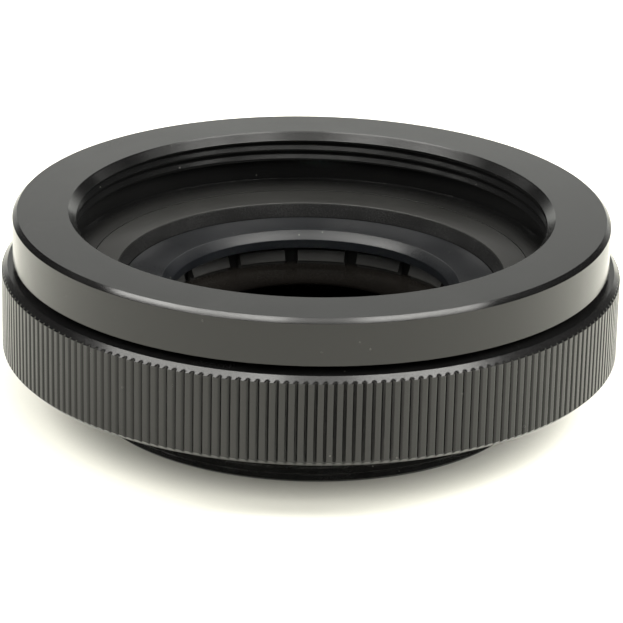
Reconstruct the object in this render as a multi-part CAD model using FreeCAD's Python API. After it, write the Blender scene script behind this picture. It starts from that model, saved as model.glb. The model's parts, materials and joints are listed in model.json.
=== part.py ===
"""Barlow lens for a telescope: a lens barrel with a threaded nose, a collar with an internal thread that
turns on the barrel, and a knurled lock ring that clamps the collar to the barrel.

Units are millimetres. The optical axis is +Z, and z = 0 is the end face of the nose, on which the part
stands. Threads are plain cylinders: an internal thread at its minor radius, an external one at its major.
"""
import FreeCAD, Part
import math
import os

# --- driving dimensions -------------------------------------------------------------------------------
TOTAL_HEIGHT = 20.8

COLLAR_RADIUS = 31.55          # smooth ring at the top
COLLAR_HEIGHT = 5.0
COLLAR_EDGE = 0.48             # its outer chamfer
COLLAR_FOOT_EDGE = 0.15

SCOPE_THREAD_RADIUS = 24.85    # minor radius of the 2 in, 24 threads per inch internal thread
SCOPE_THREAD_CHAMFER = 0.85
SCOPE_THREAD_END = 3.2         # depth below the top face where the thread stops
SCOPE_RELIEF_RADIUS = 25.9
LEDGE_DEPTH = 5.7              # depth of the ledge that a screwed-in nose stops at
LEDGE_DISH = 0.45              # how far the ledge falls towards the axis

LOCK_GAP = 0.68                # between the lock ring and the collar while the ring is tight
KNURL_RADIUS = 32.75
KNURL_DEPTH = 0.34
KNURL_COUNT = 216
KNURL_LAND = 0.45              # share of each pitch that stays at full radius
LOCK_TOP_EDGE = 0.62
LOCK_FOOT_EDGE = 0.25
LOCK_FOOT_HEIGHT = 5.65        # height of the lock ring's lower face
LOCK_THREAD_RADIUS = 29.55     # external thread on the barrel, 0.75 mm pitch
LOCK_RELIEF_RADIUS = 29.95

NOSE_RADIUS = 24.0             # M48 x 0.75 external thread
NOSE_LENGTH = 5.45
NOSE_RELIEF_RADIUS = 23.35
NOSE_RELIEF_LENGTH = 0.9
BARREL_EDGE = 0.25             # chamfer on the barrel's outer edges

RUNNING = 0.05                 # radial clearance of parts that turn on each other
FIXED = 0.02                   # radial clearance of joints that stay tight

SLEEVE_RADIUS = 23.2           # upper sleeve of the barrel, on which the collar turns
SLEEVE_TOP = 14.6
SLEEVE_DISH = 0.55             # how far its end face falls towards the axis
SLEEVE_BORE_RADIUS = 20.6
BARREL_SHOULDER = 10.35        # face that the collar is clamped down on
BARREL_EXIT_RADIUS = 17.4      # clear opening at the nose
BARREL_EXIT_MOUTH = 19.6
BARREL_EXIT_LAND = 1.1

WASHER_THICKNESS = 0.3
WASHER_PLAY = 0.2
NECK_RADIUS = 27.4
FLANGE_RADIUS = 29.2
FLANGE_THICKNESS = 2.2

SCREW_COUNT = 6
SCREW_RADIUS = 0.8
SCREW_HEAD_RADIUS = 1.5
SCREW_LENGTH = 3.6
SCREW_CIRCLE = 25.35           # radius of the circle of screws
SCREW_SOCKET_FLATS = 0.9
SCREW_SOCKET_DEPTH = 0.6

PLATE_RADIUS = 19.95
PLATE_TOP = 12.57
PLATE_SEAT_GAP = 0.08          # step from the plate up to the foot of the barrel's cone
PLATE_HOLE_RADIUS = 15.0
PLATE_HOLE_CHAMFER = 0.86

CELL_TOP = 10.75
CELL_FOOT = 2.0
CELL_RING_BORE = 18.9          # thread for the lens retaining ring
CELL_LENS_BORE = 18.0
CELL_SEAT_TOP = 2.85
CELL_APERTURE = 14.6

SHIM_THICKNESS = 0.2
LENS_RADIUS = 17.95
FRONT_DISH_RADIUS = 12.6       # edge of the hollow ground surface on the front
REAR_DISH_RADIUS = 14.2
LENS_TOP = 7.55
LENS_JOIN_EDGE = 4.55          # height of the cemented surface at the lens's edge
CEMENT = 0.02                  # thickness of the cement layer
FRONT_CURVE = 120.0
JOIN_CURVE = 180.0
REAR_CURVE = 160.0

PRESSURE_RING_THICKNESS = 0.5
PRESSURE_RING_APERTURE = 12.0
PRESSURE_RING_SHOULDER = 17.0  # radius at which its upper face starts to fall towards the axis
PRESSURE_RING_DISH = 0.3       # how far it falls
RETAINER_HEIGHT = 1.65
RETAINER_APERTURE = 16.7
RETAINER_MOUTH = 17.2          # the bore widens to this radius at the top
RETAINER_UNDERCUT = 17.3
RETAINER_UNDERCUT_HEIGHT = 0.5
RETAINER_NOTCHES = 16
RETAINER_NOTCH_WIDTH = 1.35
RETAINER_NOTCH_REACH = 17.9    # distance from the axis to the back of a notch
RETAINER_TURN = 7.5            # angle of the first notch from +X, in degrees

# --- heights that follow from them --------------------------------------------------------------------
COLLAR_FOOT = TOTAL_HEIGHT - COLLAR_HEIGHT
THREAD_END = TOTAL_HEIGHT - SCOPE_THREAD_END
LEDGE_TOP = TOTAL_HEIGHT - LEDGE_DEPTH
LOCK_TOP = COLLAR_FOOT - LOCK_GAP
FLANGE_FOOT = BARREL_SHOULDER + WASHER_THICKNESS
FLANGE_TOP = FLANGE_FOOT + FLANGE_THICKNESS
LIP_FOOT = FLANGE_TOP + WASHER_THICKNESS
SHIM_TOP = CELL_SEAT_TOP + SHIM_THICKNESS
PRESSURE_RING_TOP = LENS_TOP + PRESSURE_RING_THICKNESS
RETAINER_TOP = PRESSURE_RING_TOP + RETAINER_HEIGHT

AXIS = FreeCAD.Vector(0, 0, 1)
ORIGIN = FreeCAD.Vector(0, 0, 0)


# --- helpers ------------------------------------------------------------------------------------------
def point(radius, height):
    return FreeCAD.Vector(radius, 0, height)


def turned(outline):
    """Solid of revolution about Z from (radius, height) corners."""
    corners = [point(r, z) for r, z in outline]
    wire = Part.makePolygon(corners + corners[:1])
    return Part.Face(wire).revolve(ORIGIN, AXIS, 360)


def ring(inner, outer, foot, top):
    return turned([(inner, foot), (outer, foot), (outer, top), (inner, top)])


def sag(curve, radius):
    """Depth of a sphere of that radius of curvature, at a distance from the axis."""
    return curve - math.sqrt(curve * curve - radius * radius)


def dome(curve, radius, centre_height, edge_height):
    """Arc of that radius of curvature, from the axis out to (radius, edge_height)."""
    middle = radius / 2
    rise = math.copysign(sag(curve, middle), edge_height - centre_height)
    arc = Part.Arc(point(0, centre_height), point(middle, centre_height + rise), point(radius, edge_height))
    return arc.toShape()


def line(start, end):
    return Part.LineSegment(point(*start), point(*end)).toShape()


def lens(edges):
    """Solid of revolution about Z from the arcs and lines of half a lens's section."""
    outline = Part.Wire(Part.__sortEdges__(edges))
    return Part.Face(outline).revolve(ORIGIN, AXIS, 360)


def around(shape, count):
    """Copies of a shape, spaced evenly about Z."""
    copies = []
    for index in range(count):
        copy = shape.copy()
        copy.rotate(ORIGIN, AXIS, 360 * index / count)
        copies.append(copy)
    return copies


# --- the barrel and what is fixed in it ---------------------------------------------------------------
def lens_barrel():
    relief_foot = NOSE_LENGTH - NOSE_RELIEF_LENGTH
    return turned([
        (BARREL_EXIT_MOUTH, 0),
        (NOSE_RADIUS - BARREL_EDGE, 0),
        (NOSE_RADIUS, BARREL_EDGE),
        (NOSE_RADIUS, relief_foot),
        (NOSE_RELIEF_RADIUS, relief_foot),
        (NOSE_RELIEF_RADIUS, NOSE_LENGTH),
        (LOCK_THREAD_RADIUS - BARREL_EDGE, NOSE_LENGTH),
        (LOCK_THREAD_RADIUS, NOSE_LENGTH + BARREL_EDGE),
        (LOCK_THREAD_RADIUS, BARREL_SHOULDER - BARREL_EDGE),
        (LOCK_THREAD_RADIUS - BARREL_EDGE, BARREL_SHOULDER),
        (SLEEVE_RADIUS, BARREL_SHOULDER),
        (SLEEVE_RADIUS, SLEEVE_TOP),
        (SLEEVE_BORE_RADIUS, SLEEVE_TOP - SLEEVE_DISH),
        (PLATE_RADIUS + FIXED, PLATE_TOP + PLATE_SEAT_GAP),
        (PLATE_RADIUS + FIXED, CELL_FOOT),
        (BARREL_EXIT_RADIUS, CELL_FOOT),
        (BARREL_EXIT_RADIUS, BARREL_EXIT_LAND),
    ])


def lens_cell():
    ring_seat = LENS_TOP - PRESSURE_RING_THICKNESS
    return turned([
        (CELL_APERTURE, CELL_FOOT),
        (PLATE_RADIUS, CELL_FOOT),
        (PLATE_RADIUS, CELL_TOP),
        (CELL_RING_BORE, CELL_TOP),
        (CELL_RING_BORE, ring_seat),
        (CELL_LENS_BORE, ring_seat),
        (CELL_LENS_BORE, CELL_SEAT_TOP),
        (CELL_APERTURE, CELL_SEAT_TOP),
    ])


def aperture_plate():
    return turned([
        (PLATE_HOLE_RADIUS, CELL_TOP),
        (PLATE_RADIUS, CELL_TOP),
        (PLATE_RADIUS, PLATE_TOP),
        (PLATE_HOLE_RADIUS + PLATE_HOLE_CHAMFER, PLATE_TOP),
        (PLATE_HOLE_RADIUS, PLATE_TOP - PLATE_HOLE_CHAMFER),
    ])


def seat_shim():
    return ring(CELL_APERTURE, LENS_RADIUS, CELL_SEAT_TOP, SHIM_TOP)


def rear_lens():
    join_centre = LENS_JOIN_EDGE + sag(JOIN_CURVE, LENS_RADIUS)
    rear_centre = SHIM_TOP + sag(REAR_CURVE, REAR_DISH_RADIUS)
    return lens([
        dome(REAR_CURVE, REAR_DISH_RADIUS, rear_centre, SHIM_TOP),
        line((REAR_DISH_RADIUS, SHIM_TOP), (LENS_RADIUS, SHIM_TOP)),
        line((LENS_RADIUS, SHIM_TOP), (LENS_RADIUS, LENS_JOIN_EDGE)),
        dome(JOIN_CURVE, LENS_RADIUS, join_centre, LENS_JOIN_EDGE),
        line((0, join_centre), (0, rear_centre)),
    ])


def front_lens():
    join_edge = LENS_JOIN_EDGE + CEMENT
    join_centre = join_edge + sag(JOIN_CURVE, LENS_RADIUS)
    front_centre = LENS_TOP - sag(FRONT_CURVE, FRONT_DISH_RADIUS)
    return lens([
        dome(JOIN_CURVE, LENS_RADIUS, join_centre, join_edge),
        line((LENS_RADIUS, join_edge), (LENS_RADIUS, LENS_TOP)),
        line((LENS_RADIUS, LENS_TOP), (FRONT_DISH_RADIUS, LENS_TOP)),
        dome(FRONT_CURVE, FRONT_DISH_RADIUS, front_centre, LENS_TOP),
        line((0, front_centre), (0, join_centre)),
    ])


def pressure_ring():
    """Flat ring between the lens and the retaining ring, dished towards its aperture."""
    rim = CELL_RING_BORE - FIXED
    return turned([
        (PRESSURE_RING_APERTURE, LENS_TOP),
        (rim, LENS_TOP),
        (rim, PRESSURE_RING_TOP),
        (PRESSURE_RING_SHOULDER, PRESSURE_RING_TOP),
        (PRESSURE_RING_APERTURE, PRESSURE_RING_TOP - PRESSURE_RING_DISH),
    ])


def lens_retaining_ring():
    """Threaded ring with spanner notches cut through its bore, which leave a castellated edge."""
    rim = CELL_RING_BORE - FIXED
    undercut_top = PRESSURE_RING_TOP + RETAINER_UNDERCUT_HEIGHT
    blank = turned([
        (RETAINER_UNDERCUT, PRESSURE_RING_TOP),
        (rim, PRESSURE_RING_TOP),
        (rim, RETAINER_TOP),
        (RETAINER_MOUTH, RETAINER_TOP),
        (RETAINER_APERTURE, undercut_top),
        (RETAINER_UNDERCUT, undercut_top),
    ])
    corner = FreeCAD.Vector(0, -RETAINER_NOTCH_WIDTH / 2, 0)
    notch = Part.makeBox(RETAINER_NOTCH_REACH, RETAINER_NOTCH_WIDTH, TOTAL_HEIGHT, corner)
    notch.rotate(ORIGIN, AXIS, RETAINER_TURN)
    return blank.cut(around(notch, RETAINER_NOTCHES))


def thrust_washer():
    return ring(SLEEVE_RADIUS + WASHER_PLAY, FLANGE_RADIUS - WASHER_PLAY, BARREL_SHOULDER, FLANGE_FOOT)


# --- the collar, which turns on the barrel's sleeve ---------------------------------------------------
def scope_collar():
    body = turned([
        (SLEEVE_RADIUS + RUNNING, FLANGE_TOP),
        (NECK_RADIUS, FLANGE_TOP),
        (NECK_RADIUS, COLLAR_FOOT),
        (COLLAR_RADIUS - COLLAR_FOOT_EDGE, COLLAR_FOOT),
        (COLLAR_RADIUS, COLLAR_FOOT + COLLAR_FOOT_EDGE),
        (COLLAR_RADIUS, TOTAL_HEIGHT - COLLAR_EDGE),
        (COLLAR_RADIUS - COLLAR_EDGE, TOTAL_HEIGHT),
        (SCOPE_THREAD_RADIUS + SCOPE_THREAD_CHAMFER, TOTAL_HEIGHT),
        (SCOPE_THREAD_RADIUS, TOTAL_HEIGHT - SCOPE_THREAD_CHAMFER),
        (SCOPE_THREAD_RADIUS, THREAD_END),
        (SCOPE_RELIEF_RADIUS, THREAD_END),
        (SCOPE_RELIEF_RADIUS, LEDGE_TOP),
        (SLEEVE_RADIUS + RUNNING, LEDGE_TOP - LEDGE_DISH),
    ])
    tapped_depth = SCREW_LENGTH - FLANGE_THICKNESS + FIXED
    hole = Part.makeCylinder(SCREW_RADIUS + FIXED, tapped_depth, point(SCREW_CIRCLE, FLANGE_TOP))
    return body.cut(around(hole, SCREW_COUNT))


def flange_ring():
    """Retaining ring screwed to the foot of the collar's neck. The lock ring pulls on its rim."""
    body = ring(SLEEVE_RADIUS + RUNNING, FLANGE_RADIUS, FLANGE_FOOT, FLANGE_TOP)
    hole = screw_blank(FIXED, FLANGE_THICKNESS * 2)
    return body.cut(around(hole, SCREW_COUNT))


def screw_blank(clearance, length):
    """Countersunk screw without its socket, pointing up from the flange ring's lower face."""
    head_radius = SCREW_HEAD_RADIUS + clearance
    shank_radius = SCREW_RADIUS + clearance
    foot = point(SCREW_CIRCLE, FLANGE_FOOT)
    head = Part.makeCone(head_radius, shank_radius, head_radius - shank_radius, foot)
    shank = Part.makeCylinder(shank_radius, length, foot)
    return head.fuse(shank).removeSplitter()


def flange_screws():
    """Countersunk screws with hexagon sockets, which hold the flange ring to the collar."""
    across_corners = SCREW_SOCKET_FLATS / math.sqrt(3)
    corners = []
    for index in range(7):
        angle = math.radians(60 * index)
        x = SCREW_CIRCLE + across_corners * math.cos(angle)
        y = across_corners * math.sin(angle)
        corners.append(FreeCAD.Vector(x, y, FLANGE_FOOT))
    socket = Part.Face(Part.makePolygon(corners)).extrude(AXIS * SCREW_SOCKET_DEPTH)
    screw = screw_blank(0, SCREW_LENGTH).cut(socket)
    return Part.makeCompound(around(screw, SCREW_COUNT))


# --- the lock ring and the washer that rises with it --------------------------------------------------
def slip_washer():
    return ring(NECK_RADIUS + RUNNING * 2, FLANGE_RADIUS, FLANGE_TOP, LIP_FOOT)


def knurled_prism():
    """Straight prism, as tall as the lock ring, with V grooves between flat lands."""
    pitch = 2 * math.pi / KNURL_COUNT
    land_start = (KNURL_RADIUS, 0)
    land_end = (KNURL_RADIUS, KNURL_LAND)
    groove = (KNURL_RADIUS - KNURL_DEPTH, (1 + KNURL_LAND) / 2)
    corners = []
    for index in range(KNURL_COUNT):
        for radius, share in (land_start, land_end, groove):
            angle = pitch * (index + share)
            x = radius * math.cos(angle)
            y = radius * math.sin(angle)
            corners.append(FreeCAD.Vector(x, y, LOCK_FOOT_HEIGHT))
    face = Part.Face(Part.makePolygon(corners + corners[:1]))
    return face.extrude(AXIS * (LOCK_TOP - LOCK_FOOT_HEIGHT))


def lock_ring():
    blank = turned([
        (LOCK_THREAD_RADIUS + RUNNING, LOCK_FOOT_HEIGHT),
        (KNURL_RADIUS - LOCK_FOOT_EDGE, LOCK_FOOT_HEIGHT),
        (KNURL_RADIUS, LOCK_FOOT_HEIGHT + LOCK_FOOT_EDGE),
        (KNURL_RADIUS, LOCK_TOP - LOCK_TOP_EDGE),
        (KNURL_RADIUS - LOCK_TOP_EDGE, LOCK_TOP),
        (NECK_RADIUS + RUNNING, LOCK_TOP),
        (NECK_RADIUS + RUNNING, LIP_FOOT),
        (LOCK_RELIEF_RADIUS, LIP_FOOT),
        (LOCK_RELIEF_RADIUS, BARREL_SHOULDER),
        (LOCK_THREAD_RADIUS + RUNNING, BARREL_SHOULDER),
    ])
    return blank.common(knurled_prism())


SUB_PARTS = (
    lens_barrel, lens_cell, seat_shim, rear_lens, front_lens, pressure_ring, lens_retaining_ring,
    aperture_plate, thrust_washer, scope_collar, flange_ring, flange_screws, slip_washer, lock_ring,
)


def main():
    os.makedirs("parts", exist_ok=True)
    for make in SUB_PARTS:
        shape = make()
        print(make.__name__, shape.isValid(), len(shape.Solids), len(shape.Faces), round(shape.Volume, 1))
        shape.exportStep(os.path.join("parts", make.__name__ + ".step"))


main()
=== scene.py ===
"""Looks of the barlow lens: turned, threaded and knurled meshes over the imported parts, procedural
materials, a pale floor, soft studio light and the camera. Lengths are in mm until a mesh is made."""
import json
import math

import bpy
from mathutils import Matrix, Vector


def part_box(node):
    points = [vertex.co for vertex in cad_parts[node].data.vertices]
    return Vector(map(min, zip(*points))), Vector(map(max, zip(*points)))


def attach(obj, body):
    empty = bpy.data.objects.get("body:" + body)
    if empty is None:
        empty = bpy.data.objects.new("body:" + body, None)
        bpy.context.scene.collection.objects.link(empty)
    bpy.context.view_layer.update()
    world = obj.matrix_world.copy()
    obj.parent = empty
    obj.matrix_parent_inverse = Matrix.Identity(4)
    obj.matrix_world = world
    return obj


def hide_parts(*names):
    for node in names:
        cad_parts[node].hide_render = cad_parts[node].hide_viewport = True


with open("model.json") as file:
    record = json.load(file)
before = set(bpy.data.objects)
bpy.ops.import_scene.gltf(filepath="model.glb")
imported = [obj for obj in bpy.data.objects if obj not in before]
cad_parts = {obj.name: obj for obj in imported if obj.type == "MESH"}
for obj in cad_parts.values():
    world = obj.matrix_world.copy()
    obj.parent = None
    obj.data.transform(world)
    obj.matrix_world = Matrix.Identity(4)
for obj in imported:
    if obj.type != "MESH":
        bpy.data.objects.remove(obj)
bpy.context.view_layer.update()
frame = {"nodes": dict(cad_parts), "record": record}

MM = 0.001
TURN = 2 * math.pi


def span(node):
    """Outer radius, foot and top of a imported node."""
    low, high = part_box(node)
    return high.x / MM, low.z / MM, high.z / MM


MOUNTS = {mount["name"]: mount for mount in frame["record"]["mounts"]}

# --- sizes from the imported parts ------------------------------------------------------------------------
COLLAR_RADIUS, NECK_FOOT, COLLAR_TOP = span("scope_collar")
LOCK_RADIUS, LOCK_FOOT, LOCK_TOP = span("lock_ring")
DRUM_RADIUS, NOSE_FOOT, SLEEVE_TOP = span("lens_barrel")
PLATE_RADIUS, PLATE_FOOT, PLATE_TOP = span("aperture_plate")
CELL_RADIUS, CELL_FOOT, CELL_TOP = span("lens_cell")
RETAINER_RADIUS, RETAINER_FOOT, RETAINER_TOP = span("lens_retaining_ring")
PRESS_RADIUS, PRESS_FOOT, PRESS_TOP = span("pressure_ring")
FRONT_RADIUS, FRONT_FOOT, FRONT_TOP = span("front_lens")
REAR_RADIUS, REAR_FOOT, REAR_TOP = span("rear_lens")
LIP_FOOT = span("slip_washer")[2]
SHOULDER = span("thrust_washer")[1]
SCOPE_RADIUS = MOUNTS["scope_thread"]["dims"]["r_mm"]
NOSE_RADIUS = MOUNTS["nose_thread"]["dims"]["r_mm"]

# --- sizes of what lies inside those parts ----------------------------------------------------------------
COLLAR_HEIGHT = 5.0
COLLAR_CHAMFER = 0.48
SCOPE_PITCH = 25.4 / 24
SCOPE_THREAD_DEPTH = 0.34
SCOPE_RUN_IN = 0.25
SCOPE_THREAD_LENGTH = 3.2
SCOPE_CHAMFER = 0.85
RELIEF_RADIUS = 25.9
LEDGE_DEPTH = 5.7
LEDGE_DISH = 0.45
SLEEVE_RADIUS = 23.2
SLEEVE_DISH = 0.55
SLEEVE_BORE = 20.6
RUNNING = 0.05
NECK_RADIUS = 27.4

NOSE_PITCH = 0.75
NOSE_THREAD_DEPTH = 0.42
NOSE_CHAMFER = 0.3
NOSE_LENGTH = 5.45
NOSE_RELIEF_RADIUS = 23.35
NOSE_RELIEF_LENGTH = 0.9
MOUTH_RADIUS = 19.6
EXIT_RADIUS = 17.4
EXIT_LAND = 1.1

KNURLS = 216
KNURL_DEPTH = 0.19
KNURL_LAND = 0.57
LOCK_TOP_CHAMFER = 0.62
LOCK_FOOT_CHAMFER = 0.5
LOCK_RELIEF = 29.95

PLATE_STEP = 0.08
PLATE_HOLE = 15.0
PLATE_CHAMFER = 0.86
RETAINER_HOLE = 16.7
RETAINER_MOUTH = 17.2
RETAINER_UNDERCUT = 17.3
RETAINER_UNDERCUT_HEIGHT = 0.5
NOTCHES = 16
NOTCH_WIDTH = 1.35
NOTCH_REACH = 17.9
NOTCH_TURN = math.radians(7.5)
NOTCH_PITCH = TURN / NOTCHES
NOTCH_HALF_TURN = NOTCH_WIDTH / 2 / RETAINER_HOLE
NOTCH_WALL_TURN = 0.03 / RETAINER_HOLE
PRESS_HOLE = 12.0
PRESS_SHOULDER = 17.0
PRESS_DISH = 0.3
CELL_RING_BORE = 18.9
CELL_RING_DEPTH = 0.5
CELL_LENS_BORE = 18.0
CELL_SEAT = 2.85
CELL_APERTURE = 14.6

FRONT_DISH = 12.6
REAR_DISH = 14.2
FRONT_CURVE = 120.0
JOIN_CURVE = 180.0
REAR_CURVE = 160.0

# --- roundings, and the fineness of the meshes -------------------------------------------------------------
SMALL_EDGE = 0.03
FINE_EDGE = 0.04
EDGE = 0.1
COLLAR_FOOT_EDGE = 0.15
DRUM_EDGE = 0.2
EDGE_STEPS = 4
SHARP_FROM = 40
GLASS_SHARP_FROM = 25
COLUMNS = 360
THREAD_COLUMNS = 480
GLASS_COLUMNS = 192
COLUMNS_PER_KNURL = 10
LAND_COLUMNS = 20
GROUND_STEPS = 24
KNURL_FOOT_STEPS = 8
KNURL_WALL_STEPS = 3
KNURL_TOP_STEPS = 12
ROWS_PER_PITCH = 20
THREAD_PHASE = 0.05
THREAD_FLAT = 0.07


# --- meshes -----------------------------------------------------------------------------------------------
def end_point(corner, which):
    """A corner is (radius, height, rounding), or a list of ready rows."""
    row = corner[which] if isinstance(corner, list) else corner
    return Vector(row[:2])


def softened(corners):
    """Rows of a closed outline with its corners rounded. Lists of ready rows pass through."""
    rows = []
    for index, corner in enumerate(corners):
        if isinstance(corner, list):
            rows.extend(corner)
            continue
        here = Vector(corner[:2])
        rounding = corner[2]
        before = (end_point(corners[index - 1], -1) - here).normalized()
        after = (end_point(corners[(index + 1) % len(corners)], 0) - here).normalized()
        half = before.angle(after) / 2
        reach = rounding / math.tan(half)
        centre = here + (before + after).normalized() * (rounding / math.sin(half))
        start = here + before * reach - centre
        end = here + after * reach - centre
        for step in range(EDGE_STEPS + 1):
            share = step / EDGE_STEPS
            place = centre + (start * (1 - share) + end * share).normalized() * rounding
            rows.append((place.x, place.y, None))
    return rows


def finished(name, verts, faces, sharp_from=SHARP_FROM):
    """Smoothly shaded object. Edges that bend by more than sharp_from degrees stay sharp."""
    mesh = bpy.data.meshes.new(name)
    mesh.from_pydata(verts, [], faces)
    mesh.validate()
    mesh.shade_smooth()
    mesh.set_sharp_from_angle(angle=math.radians(sharp_from))
    piece = bpy.data.objects.new(name, mesh)
    bpy.context.scene.collection.objects.link(piece)
    weighted = piece.modifiers.new("weighted_normals", "WEIGHTED_NORMAL")
    weighted.keep_sharp = True
    return piece


def even_angles(count):
    return [TURN * index / count for index in range(count)]


def turned(name, rows, angles):
    """Closed ring from rows of (radius, height, cut).

    Where a row has a cut, cut(angle, radius, height) gives the radius and the height that it leaves.
    """
    verts = []
    for angle in angles:
        cosine = math.cos(angle) * MM
        sine = math.sin(angle) * MM
        for radius, height, cut in rows:
            if cut:
                radius, height = cut(angle, radius, height)
            verts.append((radius * cosine, radius * sine, height * MM))
    faces = []
    row_count = len(rows)
    for column in range(len(angles)):
        here = column * row_count
        there = (column + 1) % len(angles) * row_count
        for row in range(row_count):
            above = (row + 1) % row_count
            faces.append((here + row, there + row, there + above, here + above))
    return finished(name, verts, faces)


def helix(angle, height, pitch):
    """0 on the crest of a right-hand thread and 1 at its root, with straight flanks between."""
    phase = (height / pitch - angle / TURN - THREAD_PHASE) % 1
    flank = (abs(phase - 0.5) * 2 - THREAD_FLAT) / (1 - 2 * THREAD_FLAT)
    return min(max(flank, 0), 1)


def scope_thread(angle, radius, height):
    """The chamfer, and under it the thread, which deepens over a short run-in."""
    under_chamfer = COLLAR_TOP - SCOPE_CHAMFER - height
    if under_chamfer < 0:
        return SCOPE_RADIUS - under_chamfer, height
    depth = SCOPE_THREAD_DEPTH * min(under_chamfer / SCOPE_RUN_IN, 1)
    return SCOPE_RADIUS + depth * helix(angle, height, SCOPE_PITCH), height


def nose_thread(angle, radius, height):
    """The thread, cut off by the lead-in chamfer at the nose's foot."""
    lead_in = NOSE_RADIUS - NOSE_CHAMFER + height
    return min(NOSE_RADIUS - NOSE_THREAD_DEPTH * helix(angle, height, NOSE_PITCH), lead_in), height


def knurled(angle, radius, height):
    """Straight lands with round grooves between them. On a chamfer the grooves run out."""
    share = angle * KNURLS / TURN % 1
    groove = 0
    if share > KNURL_LAND:
        groove = math.sin(math.pi * (share - KNURL_LAND) / (1 - KNURL_LAND))
    return min(radius, LOCK_RADIUS - KNURL_DEPTH * groove), height


def column_of(radius, start, end, pitch, cut):
    """Ready rows up or down a wall that a thread is cut into."""
    count = max(2, round(abs(end - start) / pitch * ROWS_PER_PITCH))
    return [(radius, start + (end - start) * step / count, cut) for step in range(count + 1)]


def slope(start, end, count, cut):
    """Ready rows along a straight stretch of an outline, in equal steps."""
    rows = []
    for step in range(count + 1):
        share = step / count
        radius = start[0] + (end[0] - start[0]) * share
        height = start[1] + (end[1] - start[1]) * share
        rows.append((radius, height, cut))
    return rows


def scope_collar():
    foot = COLLAR_TOP - COLLAR_HEIGHT
    ledge = COLLAR_TOP - LEDGE_DEPTH
    thread_end = COLLAR_TOP - SCOPE_THREAD_LENGTH
    spigot = SLEEVE_RADIUS + RUNNING
    rows = softened([
        (spigot, NECK_FOOT, SMALL_EDGE),
        (NECK_RADIUS, NECK_FOOT, SMALL_EDGE),
        (NECK_RADIUS, foot, SMALL_EDGE),
        (COLLAR_RADIUS, foot, COLLAR_FOOT_EDGE),
        (COLLAR_RADIUS, COLLAR_TOP - COLLAR_CHAMFER, FINE_EDGE),
        (COLLAR_RADIUS - COLLAR_CHAMFER, COLLAR_TOP, FINE_EDGE),
        (SCOPE_RADIUS + SCOPE_CHAMFER, COLLAR_TOP, EDGE),
        column_of(SCOPE_RADIUS, COLLAR_TOP - EDGE, thread_end, SCOPE_PITCH, scope_thread),
        (RELIEF_RADIUS, thread_end, SMALL_EDGE),
        (RELIEF_RADIUS, ledge, SMALL_EDGE),
        (spigot, ledge - LEDGE_DISH, SMALL_EDGE),
    ])
    return turned("scope_collar_turned", rows, even_angles(THREAD_COLUMNS))


def lens_barrel():
    relief_foot = NOSE_LENGTH - NOSE_RELIEF_LENGTH
    seat = PLATE_RADIUS + RUNNING
    rows = softened([
        (MOUTH_RADIUS, NOSE_FOOT, EDGE),
        (NOSE_RADIUS - NOSE_CHAMFER, NOSE_FOOT, SMALL_EDGE),
        column_of(NOSE_RADIUS, NOSE_FOOT + SMALL_EDGE, relief_foot, NOSE_PITCH, nose_thread),
        (NOSE_RELIEF_RADIUS, relief_foot, SMALL_EDGE),
        (NOSE_RELIEF_RADIUS, NOSE_LENGTH, SMALL_EDGE),
        (DRUM_RADIUS, NOSE_LENGTH, DRUM_EDGE),
        (DRUM_RADIUS, SHOULDER, DRUM_EDGE),
        (SLEEVE_RADIUS, SHOULDER, SMALL_EDGE),
        (SLEEVE_RADIUS, SLEEVE_TOP, SMALL_EDGE),
        (SLEEVE_BORE, SLEEVE_TOP - SLEEVE_DISH, EDGE),
        (seat, PLATE_TOP + PLATE_STEP, SMALL_EDGE),
        (seat, CELL_FOOT, SMALL_EDGE),
        (EXIT_RADIUS, CELL_FOOT, EDGE),
        (EXIT_RADIUS, EXIT_LAND, EDGE),
    ])
    return turned("lens_barrel_turned", rows, even_angles(THREAD_COLUMNS))


def lock_ring():
    foot = (LOCK_RADIUS - LOCK_FOOT_CHAMFER, LOCK_FOOT)
    wall_foot = LOCK_FOOT + LOCK_FOOT_CHAMFER
    wall_top = LOCK_TOP - LOCK_TOP_CHAMFER
    top = (LOCK_RADIUS - LOCK_TOP_CHAMFER, LOCK_TOP)
    lip = NECK_RADIUS + RUNNING
    thread = DRUM_RADIUS + RUNNING
    hidden_corners = [(LOCK_RELIEF, LIP_FOOT, None), (LOCK_RELIEF, SHOULDER, None), (thread, SHOULDER, None)]
    rows = softened([
        (thread, LOCK_FOOT, SMALL_EDGE),
        slope(foot, (LOCK_RADIUS, wall_foot), KNURL_FOOT_STEPS, knurled),
        slope(
            (LOCK_RADIUS, wall_foot + SMALL_EDGE),
            (LOCK_RADIUS, wall_top - SMALL_EDGE),
            KNURL_WALL_STEPS,
            knurled,
        ),
        slope((LOCK_RADIUS, wall_top), top, KNURL_TOP_STEPS, knurled),
        (lip, LOCK_TOP, EDGE),
        (lip, LIP_FOOT, EDGE),
        hidden_corners,
    ])
    return turned("lock_ring_knurled", rows, even_angles(KNURLS * COLUMNS_PER_KNURL))


def aperture_plate():
    rows = softened([
        (PLATE_HOLE, PLATE_FOOT, SMALL_EDGE),
        (PLATE_RADIUS, PLATE_FOOT, SMALL_EDGE),
        (PLATE_RADIUS, PLATE_TOP, EDGE),
        (PLATE_HOLE + PLATE_CHAMFER, PLATE_TOP, EDGE),
        (PLATE_HOLE, PLATE_TOP - PLATE_CHAMFER, EDGE),
    ])
    return turned("aperture_plate_turned", rows, even_angles(COLUMNS))


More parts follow.
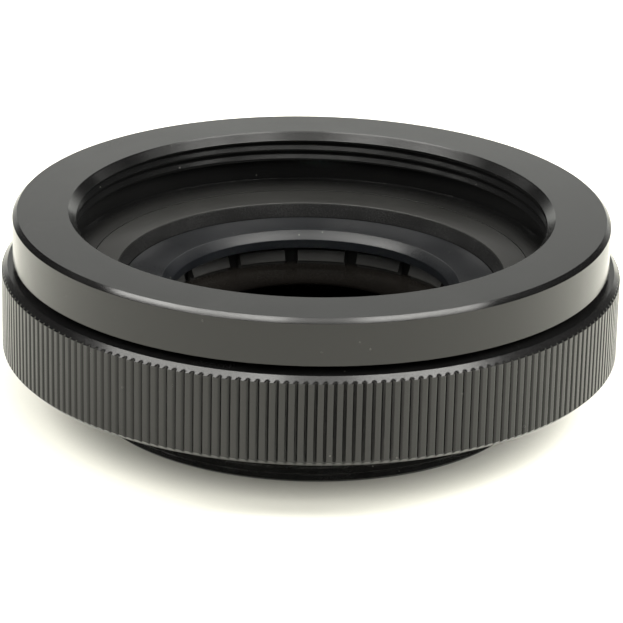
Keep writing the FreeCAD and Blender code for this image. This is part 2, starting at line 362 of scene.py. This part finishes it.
def notched_angles():
    """Columns that fall on both sides of each spanner notch, with a little slope for its walls."""
    rim = NOTCH_HALF_TURN + NOTCH_WALL_TURN
    land = NOTCH_PITCH - 2 * rim
    angles = []
    for index in range(NOTCHES):
        middle = NOTCH_TURN + index * NOTCH_PITCH
        angles += [middle + offset for offset in (-rim, -NOTCH_HALF_TURN, 0, NOTCH_HALF_TURN, rim)]
        angles += [middle + rim + land * step / LAND_COLUMNS for step in range(1, LAND_COLUMNS)]
    return angles


def notched(angle, radius, height):
    """Out to the notch's back wall inside a notch, with a margin so that its own columns count as inside."""
    offset = (angle - NOTCH_TURN + NOTCH_PITCH / 2) % NOTCH_PITCH - NOTCH_PITCH / 2
    if abs(offset) < NOTCH_HALF_TURN + NOTCH_WALL_TURN / 2:
        radius = max(radius, NOTCH_REACH)
    return radius, height


def lens_retaining_ring():
    undercut = RETAINER_FOOT + RETAINER_UNDERCUT_HEIGHT
    rows = softened([
        (RETAINER_UNDERCUT, RETAINER_FOOT, SMALL_EDGE),
        (RETAINER_RADIUS, RETAINER_FOOT, SMALL_EDGE),
        (RETAINER_RADIUS, RETAINER_TOP, SMALL_EDGE),
        (RETAINER_MOUTH, RETAINER_TOP, SMALL_EDGE),
        (RETAINER_HOLE, undercut, SMALL_EDGE),
        (RETAINER_UNDERCUT, undercut, SMALL_EDGE),
    ])
    rows = [(radius, height, notched) for radius, height, cut in rows]
    return turned("lens_retaining_ring_notched", rows, notched_angles())


def pressure_ring():
    rows = softened([
        (PRESS_HOLE, PRESS_FOOT, SMALL_EDGE),
        (PRESS_RADIUS, PRESS_FOOT, SMALL_EDGE),
        (PRESS_RADIUS, PRESS_TOP, SMALL_EDGE),
        (PRESS_SHOULDER, PRESS_TOP, SMALL_EDGE),
        (PRESS_HOLE, PRESS_TOP - PRESS_DISH, SMALL_EDGE),
    ])
    return turned("pressure_ring_turned", rows, even_angles(COLUMNS))


def lens_cell():
    step = PRESS_FOOT - CELL_RING_DEPTH
    rows = softened([
        (CELL_APERTURE, CELL_FOOT, EDGE),
        (CELL_RADIUS, CELL_FOOT, SMALL_EDGE),
        (CELL_RADIUS, CELL_TOP, SMALL_EDGE),
        (CELL_RING_BORE, CELL_TOP, SMALL_EDGE),
        (CELL_RING_BORE, step, SMALL_EDGE),
        (CELL_LENS_BORE, step, SMALL_EDGE),
        (CELL_LENS_BORE, CELL_SEAT, SMALL_EDGE),
        (CELL_APERTURE, CELL_SEAT, EDGE),
    ])
    return turned("lens_cell_turned", rows, even_angles(COLUMNS))


def sag(curve, radius):
    """How far a sphere falls away from its top at a distance from the axis."""
    return curve - math.sqrt(curve * curve - radius * radius)


def ground(curve, centre, radius, sign):
    """Points from the axis outwards on a ground surface. sign is 1 where it rises towards its edge, or -1."""
    points = []
    for step in range(GROUND_STEPS + 1):
        distance = radius * step / GROUND_STEPS
        points.append((distance, centre + sign * sag(curve, distance)))
    return points


def glass(name, lower, upper):
    """Lens from the points of its lower and upper surfaces, each from the axis to the edge."""
    rows = lower[1:] + upper[:0:-1]
    angles = even_angles(GLASS_COLUMNS)
    verts = [(0, 0, lower[0][1] * MM), (0, 0, upper[0][1] * MM)]
    for angle in angles:
        cosine = math.cos(angle) * MM
        sine = math.sin(angle) * MM
        for radius, height in rows:
            verts.append((radius * cosine, radius * sine, height * MM))
    faces = []
    row_count = len(rows)
    for column in range(len(angles)):
        here = 2 + column * row_count
        there = 2 + (column + 1) % len(angles) * row_count
        faces.append((0, there, here))
        faces.append((1, here + row_count - 1, there + row_count - 1))
        for row in range(row_count - 1):
            faces.append((here + row, there + row, there + row + 1, here + row + 1))
    return finished(name, verts, faces, GLASS_SHARP_FROM)


def front_lens():
    lower_centre = FRONT_FOOT + sag(JOIN_CURVE, FRONT_RADIUS)
    upper_centre = FRONT_TOP - sag(FRONT_CURVE, FRONT_DISH)
    lower = ground(JOIN_CURVE, lower_centre, FRONT_RADIUS, -1)
    upper = ground(FRONT_CURVE, upper_centre, FRONT_DISH, 1)
    upper += [(FRONT_RADIUS - EDGE, FRONT_TOP), (FRONT_RADIUS, FRONT_TOP - EDGE)]
    return glass("front_lens_ground", lower, upper)


def rear_lens():
    lower_centre = REAR_FOOT + sag(REAR_CURVE, REAR_DISH)
    lower = ground(REAR_CURVE, lower_centre, REAR_DISH, -1)
    lower += [(REAR_RADIUS - EDGE, REAR_FOOT), (REAR_RADIUS, REAR_FOOT + EDGE)]
    upper = ground(JOIN_CURVE, REAR_TOP, REAR_RADIUS, -1)
    return glass("rear_lens_ground", lower, upper)


# --- materials --------------------------------------------------------------------------------------------
DUST_TONE = (0.2, 0.2, 0.18)
# Lighter tones for the ledge and the sleeve's end face: painted light.
LEDGE_LIT_TONE = (0.0105, 0.0105, 0.01)
SLEEVE_LIT_TONE = (0.015, 0.015, 0.014)
# Painted shade for the back of the spanner notches.
NOTCH_SHADE_TONE = (0.006, 0.006, 0.006)
PRESS_TONE = (0.013, 0.0115, 0.01)
# Painted shade on the pressure ring, deepening towards its hole.
PRESS_HOLE_SHADE = (0.002, 0.0017, 0.0015)
PAPER_TONES = ((0.75, 0.745, 0.68), (0.78, 0.775, 0.71))
USUAL_SPECULAR = 0.5


class Graph:
    """A material and a short way to add and join its nodes."""

    def __init__(self, name):
        self.material = bpy.data.materials.new(name)
        self.material.use_nodes = True
        self.tree = self.material.node_tree
        self.shader = self.tree.nodes["Principled BSDF"]

    def add(self, kind, inputs, output=0, **settings):
        """A new node with its inputs set or linked. Gives one of its outputs."""
        node = self.tree.nodes.new(kind)
        for key, value in settings.items():
            setattr(node, key, value)
        for key, value in inputs.items():
            self.set(node.inputs[key], value)
        return node.outputs[output]

    def set(self, socket, value):
        if isinstance(value, bpy.types.NodeSocket):
            self.tree.links.new(value, socket)
        else:
            socket.default_value = value

    def shade(self, **inputs):
        """Inputs of the surface shader, with underscores for the spaces in their names."""
        for key, value in inputs.items():
            self.set(self.shader.inputs[key.replace("_", " ")], value)

    def math(self, operation, first, second=0.0):
        return self.add("ShaderNodeMath", {0: first, 1: second}, operation=operation)

    def noise(self, vector, scale, detail):
        return self.add("ShaderNodeTexNoise", {"Vector": vector, "Scale": scale, "Detail": detail})

    def mapped(self, value, low, high, start=0.0, end=1.0):
        inputs = {"Value": value, "From Min": low, "From Max": high, "To Min": start, "To Max": end}
        return self.add("ShaderNodeMapRange", inputs)

    def blend(self, share, *tones):
        """A mix of two tones, each a socket or three numbers. Inputs 6 and 7 and output 2 are its colours."""
        first, second = [tone if isinstance(tone, bpy.types.NodeSocket) else (*tone, 1) for tone in tones]
        return self.add("ShaderNodeMix", {0: share, 6: first, 7: second}, 2, data_type="RGBA")

    def place(self):
        """Object coordinates in mm."""
        coordinates = self.tree.nodes.new("ShaderNodeTexCoord").outputs["Object"]
        return self.add("ShaderNodeVectorMath", {0: coordinates, "Scale": 1 / MM}, operation="SCALE")

    def parts(self, vector):
        """The x, y and z of a vector."""
        node = self.tree.nodes.new("ShaderNodeSeparateXYZ")
        self.tree.links.new(vector, node.inputs[0])
        return node.outputs

    def radius(self):
        """Distance from the axis in mm."""
        x, y, z = self.parts(self.place())
        return self.math("SQRT", self.math("ADD", self.math("MULTIPLY", x, x), self.math("MULTIPLY", y, y)))

    def height(self):
        """Height above the nose's end face in mm, as it is at rest."""
        return self.parts(self.place())[2]

    def turning(self):
        """Coordinates that only change along a radius or up a wall, for the marks of a lathe tool."""
        return self.add("ShaderNodeCombineXYZ", {"X": self.radius(), "Y": self.height()})

    def source(self, name):
        """What an input of the surface shader is linked to so far."""
        return self.shader.inputs[name].links[0].from_socket


def anodised(name, color, roughness, marks, ior=1.6, dust=0.3):
    """Black anodised aluminium: satin, faintly cloudy, with fine rings from the lathe and specks of dust."""
    graph = Graph(name)
    place = graph.place()
    rings = graph.noise(graph.turning(), 9.0, 3.0)
    grain = graph.noise(place, 14.0, 3.0)
    clouds = graph.noise(place, 0.16, 2.0)
    specks = graph.add("ShaderNodeTexVoronoi", {"Vector": place, "Scale": 0.45})
    dusty = graph.mapped(specks, 0.03, 0.05, dust, 0.0)
    lighter = tuple(part * 1.35 for part in color)
    clouded = graph.blend(graph.mapped(clouds, 0.35, 0.65), color, lighter)
    relief = graph.math("ADD", graph.math("MULTIPLY", rings, marks), grain)
    bump = graph.add("ShaderNodeBump", {"Height": relief, "Strength": 0.22, "Distance": 0.0012 * MM})
    fine = graph.mapped(grain, 0.3, 0.7, -0.05, 0.05)
    broad = graph.mapped(clouds, 0.3, 0.7, -0.04, 0.04)
    graph.shade(
        Base_Color=graph.blend(dusty, clouded, DUST_TONE),
        Roughness=graph.math("ADD", graph.math("ADD", fine, broad), roughness),
        IOR=ior,
        Normal=bump,
    )
    return graph


def knurl_finish(graph):
    """Duller in the grooves of the knurl than on its lands and its upper chamfer."""
    x, y, z = graph.parts(graph.place())
    share = graph.math("FRACT", graph.math("MULTIPLY", graph.math("ARCTAN2", y, x), KNURLS / TURN))
    groove_middle = (1 + KNURL_LAND) / 2
    off_middle = graph.math("ABSOLUTE", graph.math("SUBTRACT", share, groove_middle))
    chamfer_foot = LOCK_TOP - LOCK_TOP_CHAMFER
    on_chamfer = graph.mapped(z, chamfer_foot, chamfer_foot + 0.1)
    bare = graph.math("MAXIMUM", off_middle, on_chamfer)
    graph.shade(Specular_IOR_Level=graph.mapped(bare, 0.06, 0.26, 0.25, USUAL_SPECULAR))
    return graph


def cell_notch_shade(graph):
    """Painted shade: darker and duller at the back of the spanner notches, where they lie in shade."""
    share = graph.mapped(graph.radius(), RETAINER_UNDERCUT + 0.2, NOTCH_REACH - 0.2)
    graph.shade(
        Base_Color=graph.blend(share, graph.source("Base Color"), NOTCH_SHADE_TONE),
        Specular_IOR_Level=graph.mapped(share, 0, 1, USUAL_SPECULAR, 0.2),
    )
    return graph


def press_painted_shade(graph):
    """Painted shade: darker and duller towards the glass, as the shade deepens into the hole."""
    share = graph.mapped(graph.radius(), PRESS_HOLE, PRESS_SHOULDER)
    graph.shade(Base_Color=graph.blend(share, PRESS_HOLE_SHADE, PRESS_TONE), Specular_IOR_Level=share)
    return graph


def matt_and_painted_light(graph, start, end, extra, tone):
    """Rougher, and lighter in colour as painted light, from a start height, fully so from an end height above
    or below it.
    """
    share = graph.mapped(graph.height(), start, end)
    graph.shade(
        Roughness=graph.math("ADD", graph.source("Roughness"), graph.math("MULTIPLY", share, extra)),
        Base_Color=graph.blend(share, graph.source("Base Color"), tone),
    )
    return graph


def collar_matt_and_painted_light(graph):
    """Matt on the lower, inner part of the dished ledge, with painted light: a lighter tone for the
    brightness that it shows.
    """
    ledge = COLLAR_TOP - LEDGE_DEPTH
    return matt_and_painted_light(graph, ledge - 0.05, ledge - 0.35, 0.25, LEDGE_LIT_TONE)


def barrel_matt_and_painted_light(graph):
    """Matt on the sleeve's end face, with painted light: a lighter tone for the brightness that it shows."""
    end_face = SLEEVE_TOP - SLEEVE_DISH
    return matt_and_painted_light(graph, end_face - 0.2, end_face, 0.12, SLEEVE_LIT_TONE)


def plate_finish(graph):
    """Dull on the wall of the hole, under its chamfer."""
    foot = PLATE_TOP - PLATE_CHAMFER
    graph.shade(Specular_IOR_Level=graph.mapped(graph.height(), foot - 0.1, foot, 0.12, USUAL_SPECULAR))
    return graph


def coated_glass(name, film):
    """Clear glass under a coating, film nm thick, with a trace of dust."""
    graph = Graph(name)
    dust = graph.noise(graph.place(), 6.0, 4.0)
    graph.shade(
        Base_Color=(0.86, 0.95, 0.9, 1),
        Roughness=graph.mapped(dust, 0.4, 0.8, 0.01, 0.05),
        IOR=1.6,
        Transmission_Weight=1.0,
        Thin_Film_Thickness=film,
        Thin_Film_IOR=1.38,
    )
    return graph


def plain(name, color, roughness, metallic=0.0):
    """Inner pieces: plastic washers, black film and steel screws, with a fine grain."""
    graph = Graph(name)
    grain = graph.noise(graph.place(), 10.0, 3.0)
    darker = tuple(part * 0.8 for part in color)
    bump = graph.add("ShaderNodeBump", {"Height": grain, "Strength": 0.3, "Distance": 0.002 * MM})
    graph.shade(
        Base_Color=graph.blend(grain, darker, color),
        Roughness=graph.mapped(grain, 0.3, 0.7, roughness - 0.05, roughness + 0.05),
        Metallic=metallic,
        Normal=bump,
    )
    return graph


def floor_paper(name):
    """Matt, slightly warm paper with a faint grain."""
    graph = Graph(name)
    grain = graph.noise(graph.place(), 1.5, 4.0)
    graph.shade(Base_Color=graph.blend(grain, *PAPER_TONES), Roughness=0.7)
    return graph


FINISHES = {
    "barrel_black": barrel_matt_and_painted_light(anodised("barrel_black", (0.007, 0.007, 0.007), 0.24, 1.0)),
    "cell_black": cell_notch_shade(anodised("cell_black", (0.023, 0.023, 0.022), 0.36, 1.0)),
    "plate_black": plate_finish(anodised("plate_black", (0.005, 0.0055, 0.0065), 0.33, 0.8, 1.45, 0.5)),
    "press_black": press_painted_shade(anodised("press_black", PRESS_TONE, 0.25, 1.0)),
    "collar_black": collar_matt_and_painted_light(anodised("collar_black", (0.003, 0.003, 0.003), 0.19, 1.2, 1.46, 0.2)),
    "knurl_black": knurl_finish(anodised("knurl_black", (0.004, 0.004, 0.004), 0.2, 0.3, 1.47)),
    "front_glass": coated_glass("front_glass", 120.0),
    "rear_glass": coated_glass("rear_glass", 130.0),
    "shim_film": plain("shim_film", (0.03, 0.03, 0.03), 0.6),
    "washer_plastic": plain("washer_plastic", (0.75, 0.74, 0.7), 0.45),
    "screw_steel": plain("screw_steel", (0.5, 0.5, 0.52), 0.3, 1.0),
}


# --- putting the pieces on their bodies ---------------------------------------------------------------------
BODY_OF = {node: body for body, nodes in frame["record"]["behaviour"]["bodies"].items() for node in nodes}
SLOT_OF = {part["node"]: part["material_slot"] for part in frame["record"]["subparts"]}
DETAILED = {
    "scope_collar": scope_collar,
    "lens_barrel": lens_barrel,
    "lock_ring": lock_ring,
    "aperture_plate": aperture_plate,
    "lens_retaining_ring": lens_retaining_ring,
    "pressure_ring": pressure_ring,
    "lens_cell": lens_cell,
    "front_lens": front_lens,
    "rear_lens": rear_lens,
}


def dress(piece, slot):
    """The slot's finish as the piece's only material."""
    piece.data.materials.clear()
    piece.data.materials.append(FINISHES[slot].material)


def place_pieces():
    """A detailed piece for each node that has one. The other nodes show as packed."""
    for node, piece in frame["nodes"].items():
        slot = SLOT_OF[node]
        if node in DETAILED:
            piece = DETAILED[node]()
            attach(piece, BODY_OF[node])
            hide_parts(node)
        dress(piece, slot)


# --- floor, light and camera --------------------------------------------------------------------------------
SKY_TILT = (0, -0.3, 1)
SKY_STOPS = ((0.0, (1.16, 1.17, 1.11)), (0.21, (0.04, 0.04, 0.04)))
LAMP_TONE = (1.0, 0.99, 0.95)
STRIP_WIDTH = 0.11
STRIP_RADIANCE = 13.5
MIDDLE_RADIANCE = 4.5
LEFT_STRIPS = ((-0.06, -0.253, 0.6), (-0.3, -0.176, 0.6), (-0.6, 0.074, 0.6))
RIGHT_STRIPS = ((0.13, -0.239, 0.6), (0.3, -0.176, 0.6), (0.5, -0.026, 0.6))
CAMERA_PLACE = (0.00016, -0.3238, 0.1377)
CAMERA_ELEVATION = math.radians(21.66)
CAMERA_ROLL = math.radians(1.177)
FOCAL_LENGTH = 188.3


def floor():
    """A large sheet at the height of the nose's end face."""
    reach = 4.0
    corners = [(-reach, -reach, 0), (reach, -reach, 0), (reach, reach, 0), (-reach, reach, 0)]
    mesh = bpy.data.meshes.new("floor")
    mesh.from_pydata(corners, [], [(0, 1, 2, 3)])
    mesh.materials.append(floor_paper("floor_paper").material)
    piece = bpy.data.objects.new("floor", mesh)
    bpy.context.scene.collection.objects.link(piece)


def sky():
    """White near the horizon, like a studio sweep, and dark overhead and to the sides, like the room."""
    world = bpy.data.worlds.new("studio")
    world.use_nodes = True
    bpy.context.scene.world = world
    nodes = world.node_tree.nodes
    links = world.node_tree.links
    direction = nodes.new("ShaderNodeTexCoord").outputs["Generated"]
    height = nodes.new("ShaderNodeVectorMath")
    height.operation = "DOT_PRODUCT"
    links.new(direction, height.inputs[0])
    height.inputs[1].default_value = SKY_TILT
    sides = nodes.new("ShaderNodeSeparateXYZ")
    links.new(direction, sides.inputs[0])
    rise = nodes.new("ShaderNodeMath")
    rise.operation = "MULTIPLY_ADD"
    links.new(sides.outputs["X"], rise.inputs[0])
    links.new(sides.outputs["X"], rise.inputs[1])
    links.new(height.outputs["Value"], rise.inputs[2])
    ramp = nodes.new("ShaderNodeValToRGB")
    links.new(rise.outputs[0], ramp.inputs[0])
    for stop, (position, tone) in zip(ramp.color_ramp.elements, SKY_STOPS):
        stop.position = position
        stop.color = (*tone, 1)
    links.new(ramp.outputs[0], nodes["Background"].inputs["Color"])
    nodes["Background"].inputs["Strength"].default_value = 1.0


def softbox(name, place, size, radiance, turn=0, aim=(0, 0, 0)):
    """Rectangular area light at a place in metres, facing a point, turned about its own axis by degrees."""
    light = bpy.data.lights.new(name, "AREA")
    light.color = LAMP_TONE
    light.shape = "RECTANGLE"
    light.size, light.size_y = size
    light.energy = radiance * math.pi * size[0] * size[1]
    holder = bpy.data.objects.new(name, light)
    facing = (Vector(aim) - Vector(place)).to_track_quat("-Z", "Y").to_matrix().to_4x4()
    holder.matrix_world = Matrix.Translation(place) @ facing @ Matrix.Rotation(math.radians(turn), 4, "Z")
    bpy.context.scene.collection.objects.link(holder)
    return holder


def strip(name, start, end, radiance):
    """Softbox between two points overhead, facing straight down. It only shows in reflections."""
    middle = (Vector(start) + Vector(end)) / 2
    along = Vector(end) - Vector(start)
    turn = math.degrees(math.atan2(along.y, along.x))
    light = softbox(name, middle, (along.length, STRIP_WIDTH), radiance, turn, (middle.x, middle.y, 0))
    light.visible_diffuse = False


def fill(name, place, size, radiance, aim=(0, 0, 0)):
    """A softbox kept out of the reflections. It only lightens the floor and the matt surfaces."""
    softbox(name, place, size, radiance, 0, aim).visible_glossy = False


def lights():
    """Strips that draw the bright chamfers, softboxes for the flat faces, and fills for the floor."""
    for name, points in (("left", LEFT_STRIPS), ("right", RIGHT_STRIPS)):
        for index in range(len(points) - 1):
            strip(f"strip_{name}_{index}", points[index], points[index + 1], STRIP_RADIANCE)
    strip("strip_middle", LEFT_STRIPS[0], RIGHT_STRIPS[0], MIDDLE_RADIANCE)
    softbox("ceiling", (0, 0.055, 0.65), (1.2, 0.51), 1.15)
    softbox("softbox_front", (0, -0.43, 0.57), (1.0, 0.1), 1.5)
    softbox("softbox_back", (0, 0.44, 0.47), (1.0, 0.28), 1.7)
    fill("front_fill", (0, -0.92, 0.76), (1.6, 0.7), 5.3)
    fill("left_fill", (-0.32, 0.02, 0.2), (0.2, 0.3), 10.5, (-0.1, 0, 0))
    fill("right_fill", (0.32, 0.02, 0.2), (0.2, 0.3), 16.0, (0.1, 0, 0))


def camera():
    """Looks down on the object at about 22 degrees, rolled by about one degree."""
    data = bpy.data.cameras.new("camera")
    data.sensor_width = 36.0
    data.lens = FOCAL_LENGTH
    data.clip_start = 0.01
    data.clip_end = 20.0
    holder = bpy.data.objects.new("camera", data)
    tilt = Matrix.Rotation(math.pi / 2 - CAMERA_ELEVATION, 4, "X")
    roll = Matrix.Rotation(CAMERA_ROLL, 4, "Z")
    holder.matrix_world = Matrix.Translation(CAMERA_PLACE) @ tilt @ roll
    bpy.context.scene.collection.objects.link(holder)
    bpy.context.scene.camera = holder


place_pieces()
floor()
sky()
lights()
camera()
bpy.context.scene.view_settings.view_transform = "Standard"
